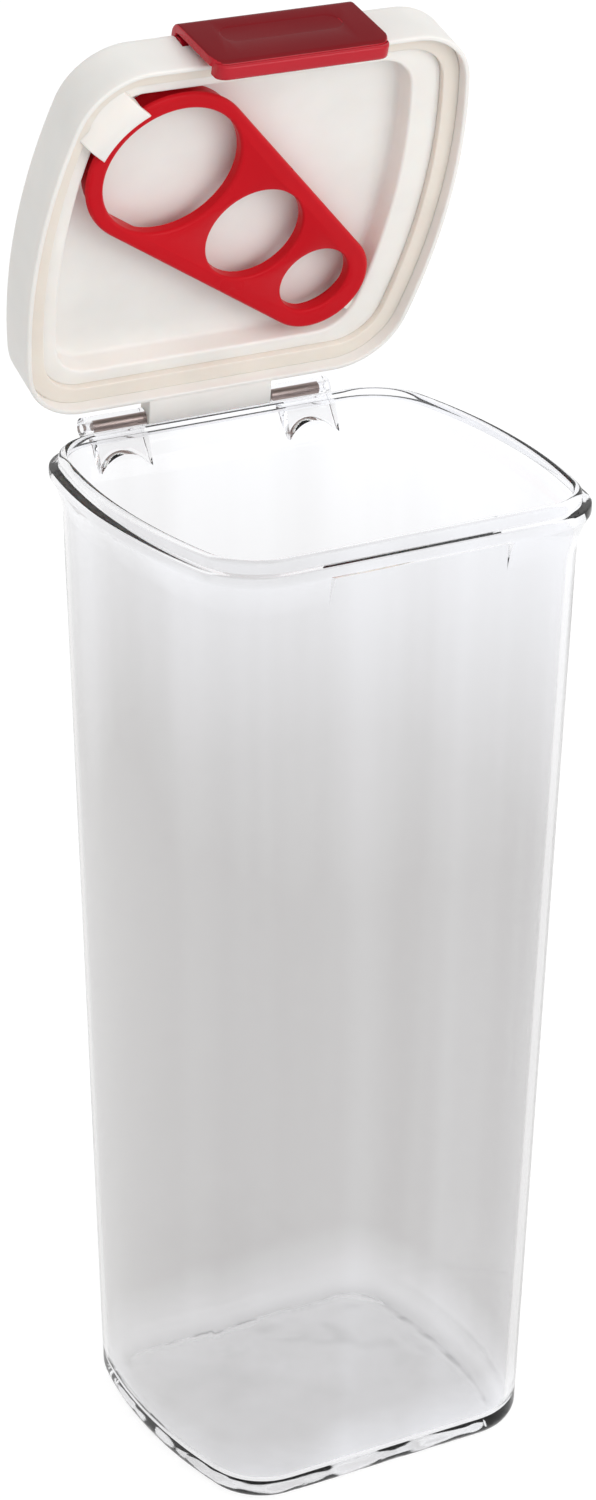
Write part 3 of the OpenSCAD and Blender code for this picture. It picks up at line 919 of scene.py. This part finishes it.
    def liner(self) -> bpy.types.Object:
        """Returns the inner lid: plate, drafted well, land, channel, with the tab and the nub."""
        skin = Skin(side=9, corner=18, flat=6)
        land, channel = self.land_z, self.channel_z
        inner = self.skirt + 0.15 + self.channel_w
        outer = self.skirt + 0.15
        fillet, crown, draft = 1.5, 0.8, 0.4
        skin.to(WELL.inset(draft + fillet + 1.0), self.plate_z, self.well_x).cap()
        for g, z in arc((-draft - fillet, self.plate_z - fillet), fillet, 90, 0, 7):
            skin.to(WELL.inset(-g), z, self.well_x)
        for g, z in arc((crown, land + crown), crown, 180, 270, 7):
            skin.to(WELL.inset(-g), z, self.well_x)
        for e, z in arc((inner + 0.2, land + 0.2), 0.2, 270, 180, 3):
            skin.to(COLLAR.inset(e), z)
        skin.to(COLLAR.inset(inner), channel - 0.05)
        skin.to(COLLAR.inset(inner - 0.05), channel)
        skin.to(COLLAR.inset(outer), channel)
        skin.to(COLLAR.inset(outer), self.seat_z)
        back = 1.8
        skin.to(WELL.inset(-back), self.seat_z, self.well_x)
        skin.to(WELL.inset(draft - back), self.plate_z + 0.4, self.well_x)
        skin.to(WELL.inset(draft + 1.0 - back), self.plate_z + 1.3, self.well_x)
        skin.cap()
        obj = to_object(skin.bm, "cream_lid_liner")
        combine(obj, [(self.measure.tab(), Join.ADD), (self.measure.nub(), Join.ADD)])
        return self.opened(obj)

    def gasket(self) -> bpy.types.Object:
        """Returns the soft sealing ring in the channel."""
        skin = Skin(side=9, corner=18, flat=6)
        out, inn = self.skirt + 0.02, self.skirt + 0.15 + self.channel_w - 0.01
        low = self.channel_z - 2.2
        skin.to(COLLAR.inset(inn), self.channel_z)
        for e, z in arc((inn - 0.35, low + 0.35), 0.35, 0, -90, 4):
            skin.to(COLLAR.inset(e), z)
        for e, z in arc((out + 0.35, low + 0.35), 0.35, 270, 180, 4):
            skin.to(COLLAR.inset(e), z)
        skin.to(COLLAR.inset(out), self.channel_z)
        skin.join_ends()
        return self.opened(to_object(skin.bm, "seal_ring"))

    def opened(self, obj: bpy.types.Object) -> bpy.types.Object:
        """Turns a finished closed piece to the angle the lid stands at.

        Args:
            obj: the piece.

        Returns:
            The same piece.
        """
        turn = about_hinge()
        obj.data.transform(turn)
        obj.data.update()
        return obj


def about_hinge() -> Matrix:
    """Returns the turn of the open lid about the hinge axis."""
    centre = Matrix.Translation((0, HINGE_Y * MM, HINGE_Z * MM))
    return centre @ Matrix.Rotation(-LID_ANGLE, 4, "X") @ centre.inverted()


@dataclass
class Measure:
    """The three-hole portion measure and what keeps it in the lid (mm, lengths along its middle line)."""

    large_r: float = 23.0
    small_r: float = 14.9
    large_at: tuple[float, float] = (-25.4, -20.6)
    small_at: tuple[float, float] = (27.6, 24.9)
    front_z: float = 273.9
    back_z: float = 280.9
    face: float = 3.2
    flange: float = 1.3
    flange_in: float = 1.5
    rim: float = 1.5
    holes: tuple[tuple[float, float, float], ...] = (
        (1.6, 19.2, 1.2),
        (39.3, 14.0, 0.9),
        (68.1, 10.0, 0.9),
    )
    tab_w: float = 16.5
    tab_gap: float = 0.7
    tab_t: float = 1.3
    side_steps: int = 12

    def length(self) -> float:
        """Returns the distance between the two ends' centres."""
        return math.dist(self.large_at, self.small_at)

    def place(self) -> Matrix:
        """Returns the placing of the measure's own frame in the closed lid."""
        dx, dy = self.small_at[0] - self.large_at[0], self.small_at[1] - self.large_at[1]
        move = Matrix.Translation((self.large_at[0] * MM, self.large_at[1] * MM, 0))
        return move @ Matrix.Rotation(math.atan2(dy, dx), 4, "Z")

    def outline(self, bm: bmesh.types.BMesh, grow: float, z: float) -> list:
        """Draws the two-ended outline by spinning a point round each end and returns its edges.

        Args:
            bm: the mesh it is drawn in.
            grow: how far outside the plain outline it lies (mm).
            z: its height (mm).

        Returns:
            The outline's edges.
        """
        before = set(bm.verts)
        span = self.length()
        lean = math.acos((self.large_r - self.small_r) / span)
        big, small = self.large_r + grow, self.small_r + grow
        start = Vector((big * math.cos(lean), big * math.sin(lean), z)) * MM
        tip = bmesh.ops.create_vert(bm, co=start)["vert"]
        run = span + (small - big) * math.cos(lean)
        drop = (big - small) * math.sin(lean)
        for centre, angle, steps, way in (
            (0.0, 2 * (math.pi - lean), 56, (run, drop, 0)),
            (span, 2 * lean, 36, (-run, drop, 0)),
        ):
            middle = (centre * MM, 0, z * MM)
            spun = bmesh.ops.spin(bm, geom=tip, cent=middle, axis=(0, 0, 1), angle=angle, steps=steps)
            tip = [v for v in spun["geom_last"] if isinstance(v, bmesh.types.BMVert)]
            for _ in range(self.side_steps):
                tip = bmesh.ops.extrude_vert_indiv(bm, verts=tip)["verts"]
                bmesh.ops.translate(bm, verts=tip, vec=Vector(way) * MM / self.side_steps)
        ring = [v for v in bm.verts if v not in before]
        bmesh.ops.remove_doubles(bm, verts=ring, dist=SAME_PLACE)
        return list({e for v in bm.verts if v not in before for e in v.link_edges})

    def body(self) -> bmesh.types.BMesh:
        """Returns the measure without its holes: a shallow dished face and a deep rim behind it."""
        bm = bmesh.new()
        inside = self.front_z + self.face
        edge = self.flange - 0.1
        side = -self.flange_in
        front, back, behind = self.front_z, self.back_z, self.front_z + self.flange
        inner = side - self.rim
        rows = [(-3.6, front + 0.12), (-2.8, front + 0.08), (-2.0, front + 0.02)]
        rows += arc((-edge, front + edge), edge, 270, 360, 8)
        rows += [(-0.1, behind), (side + 0.2, behind), (side, behind + 0.2)]
        rows += [(side, back - 0.3), (side - 0.3, back), (inner + 0.3, back), (inner, back - 0.3)]
        rows += [(inner, inside + 0.4), (inner - 0.4, inside)]
        last = first = self.outline(bm, *rows[0])
        for grow, z in rows[1:]:
            edges = self.outline(bm, grow, z)
            bridge(bm, last, edges, Vector((0, 0, HOLD_OFF)))
            last = edges
        bmesh.ops.contextual_create(bm, geom=first)
        bmesh.ops.contextual_create(bm, geom=last)
        return bm

    def hole(self, s: float, radius: float, mouth: float) -> bmesh.types.BMesh:
        """Returns the cutter of one hole with a rounded mouth.

        Args:
            s: where the hole's middle lies along the measure's middle line (mm).
            radius: the hole's radius (mm).
            mouth: radius of the rounding round its front edge (mm).

        Returns:
            The cutter, in the measure's own frame.
        """
        bm = bmesh.new()
        start = bmesh.ops.create_vert(bm, co=Vector((s, 0, self.front_z - 2)) * MM)["vert"]
        path = [(radius + mouth + 1.2, self.front_z - 2), (radius + mouth + 1.2, self.front_z - 0.6)]
        path += arc((radius + mouth, self.front_z + mouth + 0.02), mouth, 270, 180, 8)
        path += [(radius, self.back_z + 2), (0.0, self.back_z + 2)]
        tip = start
        at = Vector((s, 0, self.front_z - 2)) * MM
        for r, z in path:
            tip = bmesh.ops.extrude_vert_indiv(bm, verts=tip)["verts"]
            to = Vector((s + r, 0, z)) * MM
            bmesh.ops.translate(bm, verts=tip, vec=to - at)
            at = to
        geom = list(bm.verts) + list(bm.edges)
        bmesh.ops.spin(
            bm, geom=geom, cent=(s * MM, 0, 0), axis=(0, 0, 1), angle=2 * math.pi, steps=96, use_merge=True
        )
        bmesh.ops.remove_doubles(bm, verts=bm.verts, dist=SAME_PLACE)
        bmesh.ops.recalc_face_normals(bm, faces=bm.faces)
        return bm

    def build(self, effects: "Effects") -> bpy.types.Object:
        """Builds the measure in its well, finished.

        Args:
            effects: the shared node groups.

        Returns:
            The measure.
        """
        obj = to_object(self.body(), "red_pasta_measure")
        combine(obj, [(self.hole(*hole), Join.CUT) for hole in self.holes])
        obj.data.transform(about_hinge() @ self.place())
        obj.data.materials.clear()
        obj.data.materials.append(MEASURE_RED.material(effects))
        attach(obj, "measure")
        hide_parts("pasta_measure")
        return obj

    def tab(self) -> bmesh.types.BMesh:
        """Returns the tab over the large end, rising from the land with a soft slope."""
        tip_r = self.holes[0][1] + 3.9
        low = self.front_z - self.tab_gap - self.tab_t
        half = self.tab_w / 2
        root = -self.large_r - 1.0
        outline = [(-18.0, low), (-23.4, low), (-24.6, low + 0.1), (-26.0, low + 0.5), (-27.4, low + 1.15)]
        outline += [(-28.8, low + 1.9), (-30.2, low + 2.55), (-31.6, low + 2.95), (-31.6, low + 4.6)]
        outline += [(root, low + 4.6), (root, low + self.tab_t), (-18.0, low + self.tab_t)]
        bm = bmesh.new()
        plate(bm, outline, -half, half)
        bmesh.ops.rotate(bm, verts=bm.verts, cent=(0, 0, 0), matrix=Matrix.Rotation(-math.pi / 2, 3, "Z"))
        tip = bmesh.new()
        at = Matrix.Translation((self.holes[0][0] * MM, 0, low * MM))
        bmesh.ops.create_cone(
            tip, cap_ends=True, segments=160, radius1=tip_r * MM, radius2=tip_r * MM, depth=0.02, matrix=at
        )
        bm = carved(bm, [tip])
        front = [e for e in bm.edges if self.tab_front_edge(e, low, root)]
        soften(bm, front, 0.4)
        bmesh.ops.transform(bm, matrix=self.place(), verts=bm.verts)
        return bm

    def tab_front_edge(self, edge: bmesh.types.BMEdge, low: float, root: float) -> bool:
        """Tells whether an edge of the tab is one that its front shows.

        Args:
            edge: the edge.
            low: height of the tab's front face (mm).
            root: where the tab's underside meets the well, along the measure (mm).

        Returns:
            True where the edge is rounded.
        """
        heights = [v.co.z for v in edge.verts]
        if max(heights) >= (low + 3.1) * MM or min(heights) >= (low + 2.8) * MM:
            return False
        if len(edge.link_faces) != 2 or edge.calc_face_angle() <= 0.7:
            return False
        under = all(abs(z - (low + self.tab_t) * MM) < SAME_PLACE for z in heights)
        at_root = all(abs(v.co.x - root * MM) < SAME_PLACE for v in edge.verts)
        return not under and not at_root and abs(heights[0] - heights[1]) < 0.9 * MM

    def nub(self) -> bmesh.types.BMesh:
        """Returns the nub behind the small end."""
        bm = bmesh.new()
        start = self.length() + self.small_r - self.flange_in + 0.5
        box(bm, (start, -1.8, 277.0), (start + 6.5, 1.8, 283.0))
        soften(bm, list(bm.edges), 0.5)
        bmesh.ops.transform(bm, matrix=self.place(), verts=bm.verts)
        return bm


@dataclass
class Latch:
    """The snap latch: rolled top, plate with a bullnose, and the hook band behind it (mm)."""

    width: float = 50.0
    thick: float = 2.5
    face_y: float = -57.0
    pin_y: float = LATCH_PIN_Y
    pin_z: float = LATCH_PIN_Z
    roll_r: float = 3.2
    bend_r: float = 3.4
    nose_z: float = 264.45
    corner_r: float = 4.0
    edge: float = 0.45
    band_w: float = 48.8
    band_low: float = 261.9
    band_top: float = 266.7
    panel: tuple[float, float, float] = (34.0, 7.4, 276.1)

    def section(self, lift: float, inset: float) -> list:
        """Returns the plate's outline.

        Args:
            lift: how far its nose is lifted (mm).
            inset: how far its edge is drawn in (mm).

        Returns:
            (y, z) points.
        """
        top = self.pin_z + self.roll_r
        bend = (self.face_y + self.bend_r, top - self.bend_r)
        nose = (self.face_y + self.thick / 2, self.nose_z + lift)
        points = arc(nose, self.thick / 2 - inset, 180, 360, 12)
        points += arc(bend, self.bend_r - self.thick + inset, 180, 100, 5)
        points += arc((self.pin_y, self.pin_z), self.roll_r - inset, 168, 450, 36)
        points += arc(bend, self.bend_r - inset, 90, 180, 10)
        return points

    def band_section(self, lift: float, inset: float) -> list:
        """Returns the hook band's outline.

        Args:
            lift: how far its lower edge is lifted (mm).
            inset: how far its edge is drawn in (mm).

        Returns:
            (y, z) points.
        """
        front, back = self.face_y + 0.75 + inset, -COLLAR.half_d + 1.8 - inset
        low, top = self.band_low + inset, self.band_top - inset
        points = arc((front + 0.7, low + 0.7), 0.7, 270, 180, 5)
        points += [(front + 0.05, low + 1.1), (front + 0.45, low + 1.45)]
        points += [(front + 0.8, low + 2.2), (front + 0.8, top)]
        points += arc((back - 0.4, top - 0.4), 0.4, 90, 0, 4)
        points += arc((back - 1.2, low + 1.2), 1.2, 0, -90, 5)
        squeeze = (top - low - lift) / (top - low)
        return [(y, top - (top - z) * squeeze) for y, z in points]

    def loft(self, section, half: float, corner: float) -> bmesh.types.BMesh:
        """Carries a (y, z) outline across X with round lower corners and softened ends.

        Args:
            section: gives the outline for a lift of its lower edge and an inset.
            half: half the width.
            corner: radius of the lower corners seen from the front.

        Returns:
            The closed shape.
        """
        bm = bmesh.new()
        turns = [math.radians(a) for a in (0, 6, 12, 20, 30, 42, 56, 72, 90)]
        ends = [(half - corner + corner * math.cos(t), corner * (1 - math.sin(t))) for t in turns]
        ends = ends + [(half - self.edge * (1 - math.cos(math.radians(a))), None) for a in (45, 70)]
        stations = sorted({round(x, 5) for x, _ in ends} | {half - corner - 4.0 * i for i in range(1, 6)})
        stations = [-x for x in reversed(stations)] + stations
        last = first = None
        for x in stations:
            along = max(0.0, abs(x) - (half - corner))
            lift = corner - math.sqrt(max(0.0, corner**2 - along**2))
            over = max(0.0, abs(x) - (half - self.edge))
            inset = self.edge - math.sqrt(max(0.0, self.edge**2 - over**2))
            edges = closed_line(bm, [(x, y, z) for y, z in section(lift, inset)])
            if last:
                bridge(bm, last, edges, Vector((HOLD_OFF, 0, 0)))
            else:
                first = edges
            last = edges
        bmesh.ops.contextual_create(bm, geom=first)
        bmesh.ops.contextual_create(bm, geom=last)
        return bm

    def panel_cut(self) -> bmesh.types.BMesh:
        """Returns the cutter of the shallow rounded panel in the face."""
        bm = bmesh.new()
        length, height, z = self.panel
        run = (length - height) / 2
        last = first = None
        steps = ((1.0, -1.0), (0.3, -0.02), (0.12, 0.03), (0.0, 0.11), (-0.1, 0.19), (-0.3, 0.22))
        for grow, y in steps:
            r = height / 2 + grow
            line = arc((run, z), r, -90, 90, 18) + arc((-run, z), r, 90, 270, 18)
            edges = closed_line(bm, [(x, self.face_y + y, h) for x, h in line])
            if last:
                bridge(bm, last, edges, Vector((0, HOLD_OFF, 0)))
            else:
                first = edges
            last = edges
        bmesh.ops.contextual_create(bm, geom=first)
        bmesh.ops.contextual_create(bm, geom=last)
        return bm

    def build(self, effects: "Effects") -> bpy.types.Object:
        """Builds the latch, turned open with the lid and a little released.

        Args:
            effects: the shared node groups.

        Returns:
            The latch.
        """
        obj = to_object(self.loft(self.section, self.width / 2, self.corner_r), "red_latch")
        bore = bmesh.new()
        rod(bore, -self.width, self.width, self.pin_y, self.pin_z, PIN_BORE_R, 32)
        band = self.loft(self.band_section, self.band_w / 2, 3.0)
        tools = [(band, Join.ADD), (bore, Join.CUT), (self.panel_cut(), Join.CUT)]
        combine(obj, tools)
        obj.data.materials.clear()
        obj.data.materials.append(LATCH_RED.material(effects))
        obj.data.materials.append(LATCH_FACE.material(effects))
        for face in obj.data.polygons:
            y, z = face.center.y / MM, face.center.z / MM
            outward = face.normal.y < -0.55 or (face.normal.z > 0.3 and z > self.pin_z)
            on_front = y < self.face_y + 0.62 or z > self.pin_z
            face.material_index = int(outward and on_front and abs(face.normal.x) < 0.6)
        pin = Matrix.Translation((0, self.pin_y * MM, self.pin_z * MM))
        released = pin @ Matrix.Rotation(-LATCH_ANGLE, 4, "X") @ pin.inverted()
        obj.data.transform(about_hinge() @ released)
        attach(obj, "latch")
        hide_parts("latch")
        return obj


def closed_line(bm: bmesh.types.BMesh, points: list) -> list:
    """Draws a closed line through (x, y, z) points in millimetres by extruding a vertex on.

    Args:
        bm: the mesh it is drawn in.
        points: the corners in order.

    Returns:
        The line's edges.
    """
    at = Vector(points[0]) * MM
    start = bmesh.ops.create_vert(bm, co=at)["vert"]
    tip, edges = start, []
    for point in points[1:]:
        grown = bmesh.ops.extrude_vert_indiv(bm, verts=tip)
        tip = grown["verts"]
        edges += grown["edges"]
        to = Vector(point) * MM
        bmesh.ops.translate(bm, verts=tip, vec=to - at)
        at = to
    closing = bmesh.ops.contextual_create(bm, geom=[tip[0], start[0]])
    return edges + closing["edges"]


@dataclass
class Pins:
    """The three steel pins (mm)."""

    diameter: float = PIN_D
    hinge_x: tuple[float, float] = (7.8, 34.0)
    latch_l: float = 55.8

    def pin(
        self, name: str, node: str, x0: float, x1: float, y: float, z: float, effects: "Effects"
    ) -> bpy.types.Object:
        """Returns one pin with chamfered ends, finished.

        Args:
            name: the piece's name.
            node: the CAD node that it stands for.
            x0: where it starts (mm).
            x1: where it ends (mm).
            y: its place in the closed lid (mm).
            z: its height in the closed lid (mm).
            effects: the shared node groups.

        Returns:
            The pin, turned open with the lid.
        """
        bm = bmesh.new()
        rod(bm, x0, x1, y, z, self.diameter / 2, 40)
        soften(bm, end_rims(bm), 0.25, 2)
        obj = to_object(bm, name)
        obj.data.transform(about_hinge())
        # The pin's brown colour is a painted reflection of the cream lid.
        obj.data.materials.append(STEEL_PAINTED_REFLECTION.material(effects))
        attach(obj, "lid")
        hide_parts(node)
        return obj

    def build(self, effects: "Effects") -> list[bpy.types.Object]:
        """Builds the pins, finished.

        Args:
            effects: the shared node groups.

        Returns:
            The two hinge pins and the latch's pin.
        """
        near, far = self.hinge_x
        half = self.latch_l / 2
        return [
            self.pin("steel_hinge_pin_right", "hinge_pin_right", near, far, HINGE_Y, HINGE_Z, effects),
            self.pin("steel_hinge_pin_left", "hinge_pin_left", -far, -near, HINGE_Y, HINGE_Z, effects),
            self.pin("steel_latch_pin", "latch_pin", -half, half, LATCH_PIN_Y, LATCH_PIN_Z, effects),
        ]


@dataclass
class Studio:
    """Camera, floor, world and lamps."""

    eye: tuple[float, float, float] = (-508.05, -879.43, 644.15)
    azimuth: float = 29.77
    pitch: float = 23.82
    roll: float = 0.56
    focal_px: float = 4248.9
    frame_px: tuple[int, int] = (596, 1500)

    def camera(self) -> None:
        """Places the camera that was solved from the photograph."""
        data = bpy.data.cameras.new("camera")
        data.sensor_width = 36
        data.lens = 36 * self.focal_px / self.frame_px[1]
        data.clip_start, data.clip_end = 0.05, 50
        cam = bpy.data.objects.new("camera", data)
        bpy.context.scene.collection.objects.link(cam)
        az, el, roll = (math.radians(a) for a in (self.azimuth, self.pitch, self.roll))
        ahead = Vector((math.sin(az) * math.cos(el), math.cos(az) * math.cos(el), -math.sin(el)))
        right = Vector((math.cos(az), -math.sin(az), 0))
        up = right.cross(ahead)
        right_r = right * math.cos(roll) + up * math.sin(roll)
        up_r = up * math.cos(roll) - right * math.sin(roll)
        turn = Matrix((right_r, up_r, -ahead)).transposed()
        cam.matrix_world = Matrix.Translation([v * MM for v in self.eye]) @ turn.to_4x4()
        bpy.context.scene.camera = cam

    def floor(self) -> None:
        """Adds the pale floor."""
        bm = bmesh.new()
        below = Matrix.Translation((0, 0, -0.1 * MM))
        bmesh.ops.create_grid(bm, x_segments=1, y_segments=1, size=4, matrix=below)
        obj = to_object(bm, "floor")
        material = bpy.data.materials.new("floor_white")
        material.use_nodes = True
        nodes, links = material.node_tree.nodes, material.node_tree.links
        shader = nodes["Principled BSDF"]
        shader.inputs["Roughness"].default_value = 0.9
        shader.inputs["Specular IOR Level"].default_value = 0.1
        seen = self.seen(material.node_tree)
        paint = nodes.new("ShaderNodeMix")
        paint.data_type = "RGBA"
        paint.inputs[6].default_value = (0.8, 0.8, 0.8, 1)
        paint.inputs[7].default_value = (0.3, 0.3, 0.3, 1)
        glow = nodes.new("ShaderNodeMath")
        glow.operation = "MULTIPLY"
        glow.inputs[1].default_value = 0.82
        shader.inputs["Emission Color"].default_value = (1, 1, 1, 1)
        links.new(seen, paint.inputs[0])
        links.new(paint.outputs[2], shader.inputs["Base Color"])
        links.new(seen, glow.inputs[0])
        links.new(glow.outputs["Value"], shader.inputs["Emission Strength"])
        obj.data.materials.append(material)

    def seen(self, tree: bpy.types.NodeTree) -> bpy.types.NodeSocket:
        """Returns a socket that is 1 where a camera, mirrored or transmitted ray meets the surroundings.

        Args:
            tree: the material's or the world's nodes.

        Returns:
            The socket.
        """
        path = tree.nodes.new("ShaderNodeLightPath")
        last = path.outputs["Is Camera Ray"]
        for name in ("Is Glossy Ray", "Is Transmission Ray"):
            most = tree.nodes.new("ShaderNodeMath")
            most.operation = "MAXIMUM"
            tree.links.new(last, most.inputs[0])
            tree.links.new(path.outputs[name], most.inputs[1])
            last = most.outputs["Value"]
        return last

    def world(self) -> None:
        """Adds the white surroundings."""
        world = bpy.data.worlds.new("studio")
        world.use_nodes = True
        tree = world.node_tree
        backdrop = tree.nodes["Background"]
        backdrop.inputs["Color"].default_value = (1, 1, 1, 1)
        level = tree.nodes.new("ShaderNodeMapRange")
        level.inputs["To Min"].default_value = 0.78
        level.inputs["To Max"].default_value = 1.0
        tree.links.new(self.seen(tree), level.inputs["Value"])
        tree.links.new(level.outputs["Result"], backdrop.inputs["Strength"])
        bpy.context.scene.world = world

    def lamp(self, name: str, place: tuple, aim: tuple, size: float, power: float) -> None:
        """Adds one soft area lamp.

        Args:
            name: its name.
            place: where it stands (m).
            aim: the point it faces (m).
            size: length of its sides (m).
            power: its power (W).
        """
        data = bpy.data.lights.new(name, "AREA")
        data.shape = "SQUARE"
        data.size = size
        data.energy = power
        obj = bpy.data.objects.new(name, data)
        bpy.context.scene.collection.objects.link(obj)
        obj.location = place
        obj.rotation_euler = (Vector(aim) - Vector(place)).to_track_quat("-Z", "Y").to_euler()

    def build(self) -> None:
        """Builds the whole studio."""
        bpy.context.scene.view_settings.view_transform = "Standard"
        self.camera()
        self.floor()
        self.world()
        self.lamp("key", (0.5, -1.3, 0.8), (0, 0, 0.3), 0.9, 6.5)
        self.lamp("fill", (-0.25, -1.3, 0.6), (0, 0, 0.3), 0.8, 2.2)


def main() -> None:
    """Builds the container piece by piece, then the studio."""
    logging.basicConfig(level=logging.INFO, format="%(message)s")
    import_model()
    effects = Effects()
    pieces = [Container().build(), *Lid().build(effects), Measure().build(effects), Latch().build(effects)]
    pieces += Pins().build(effects)
    for piece in pieces:
        LOG.info("%s: %d faces", piece.name, len(piece.data.polygons))
    Studio().build()


if __name__ == "__main__":
    main()
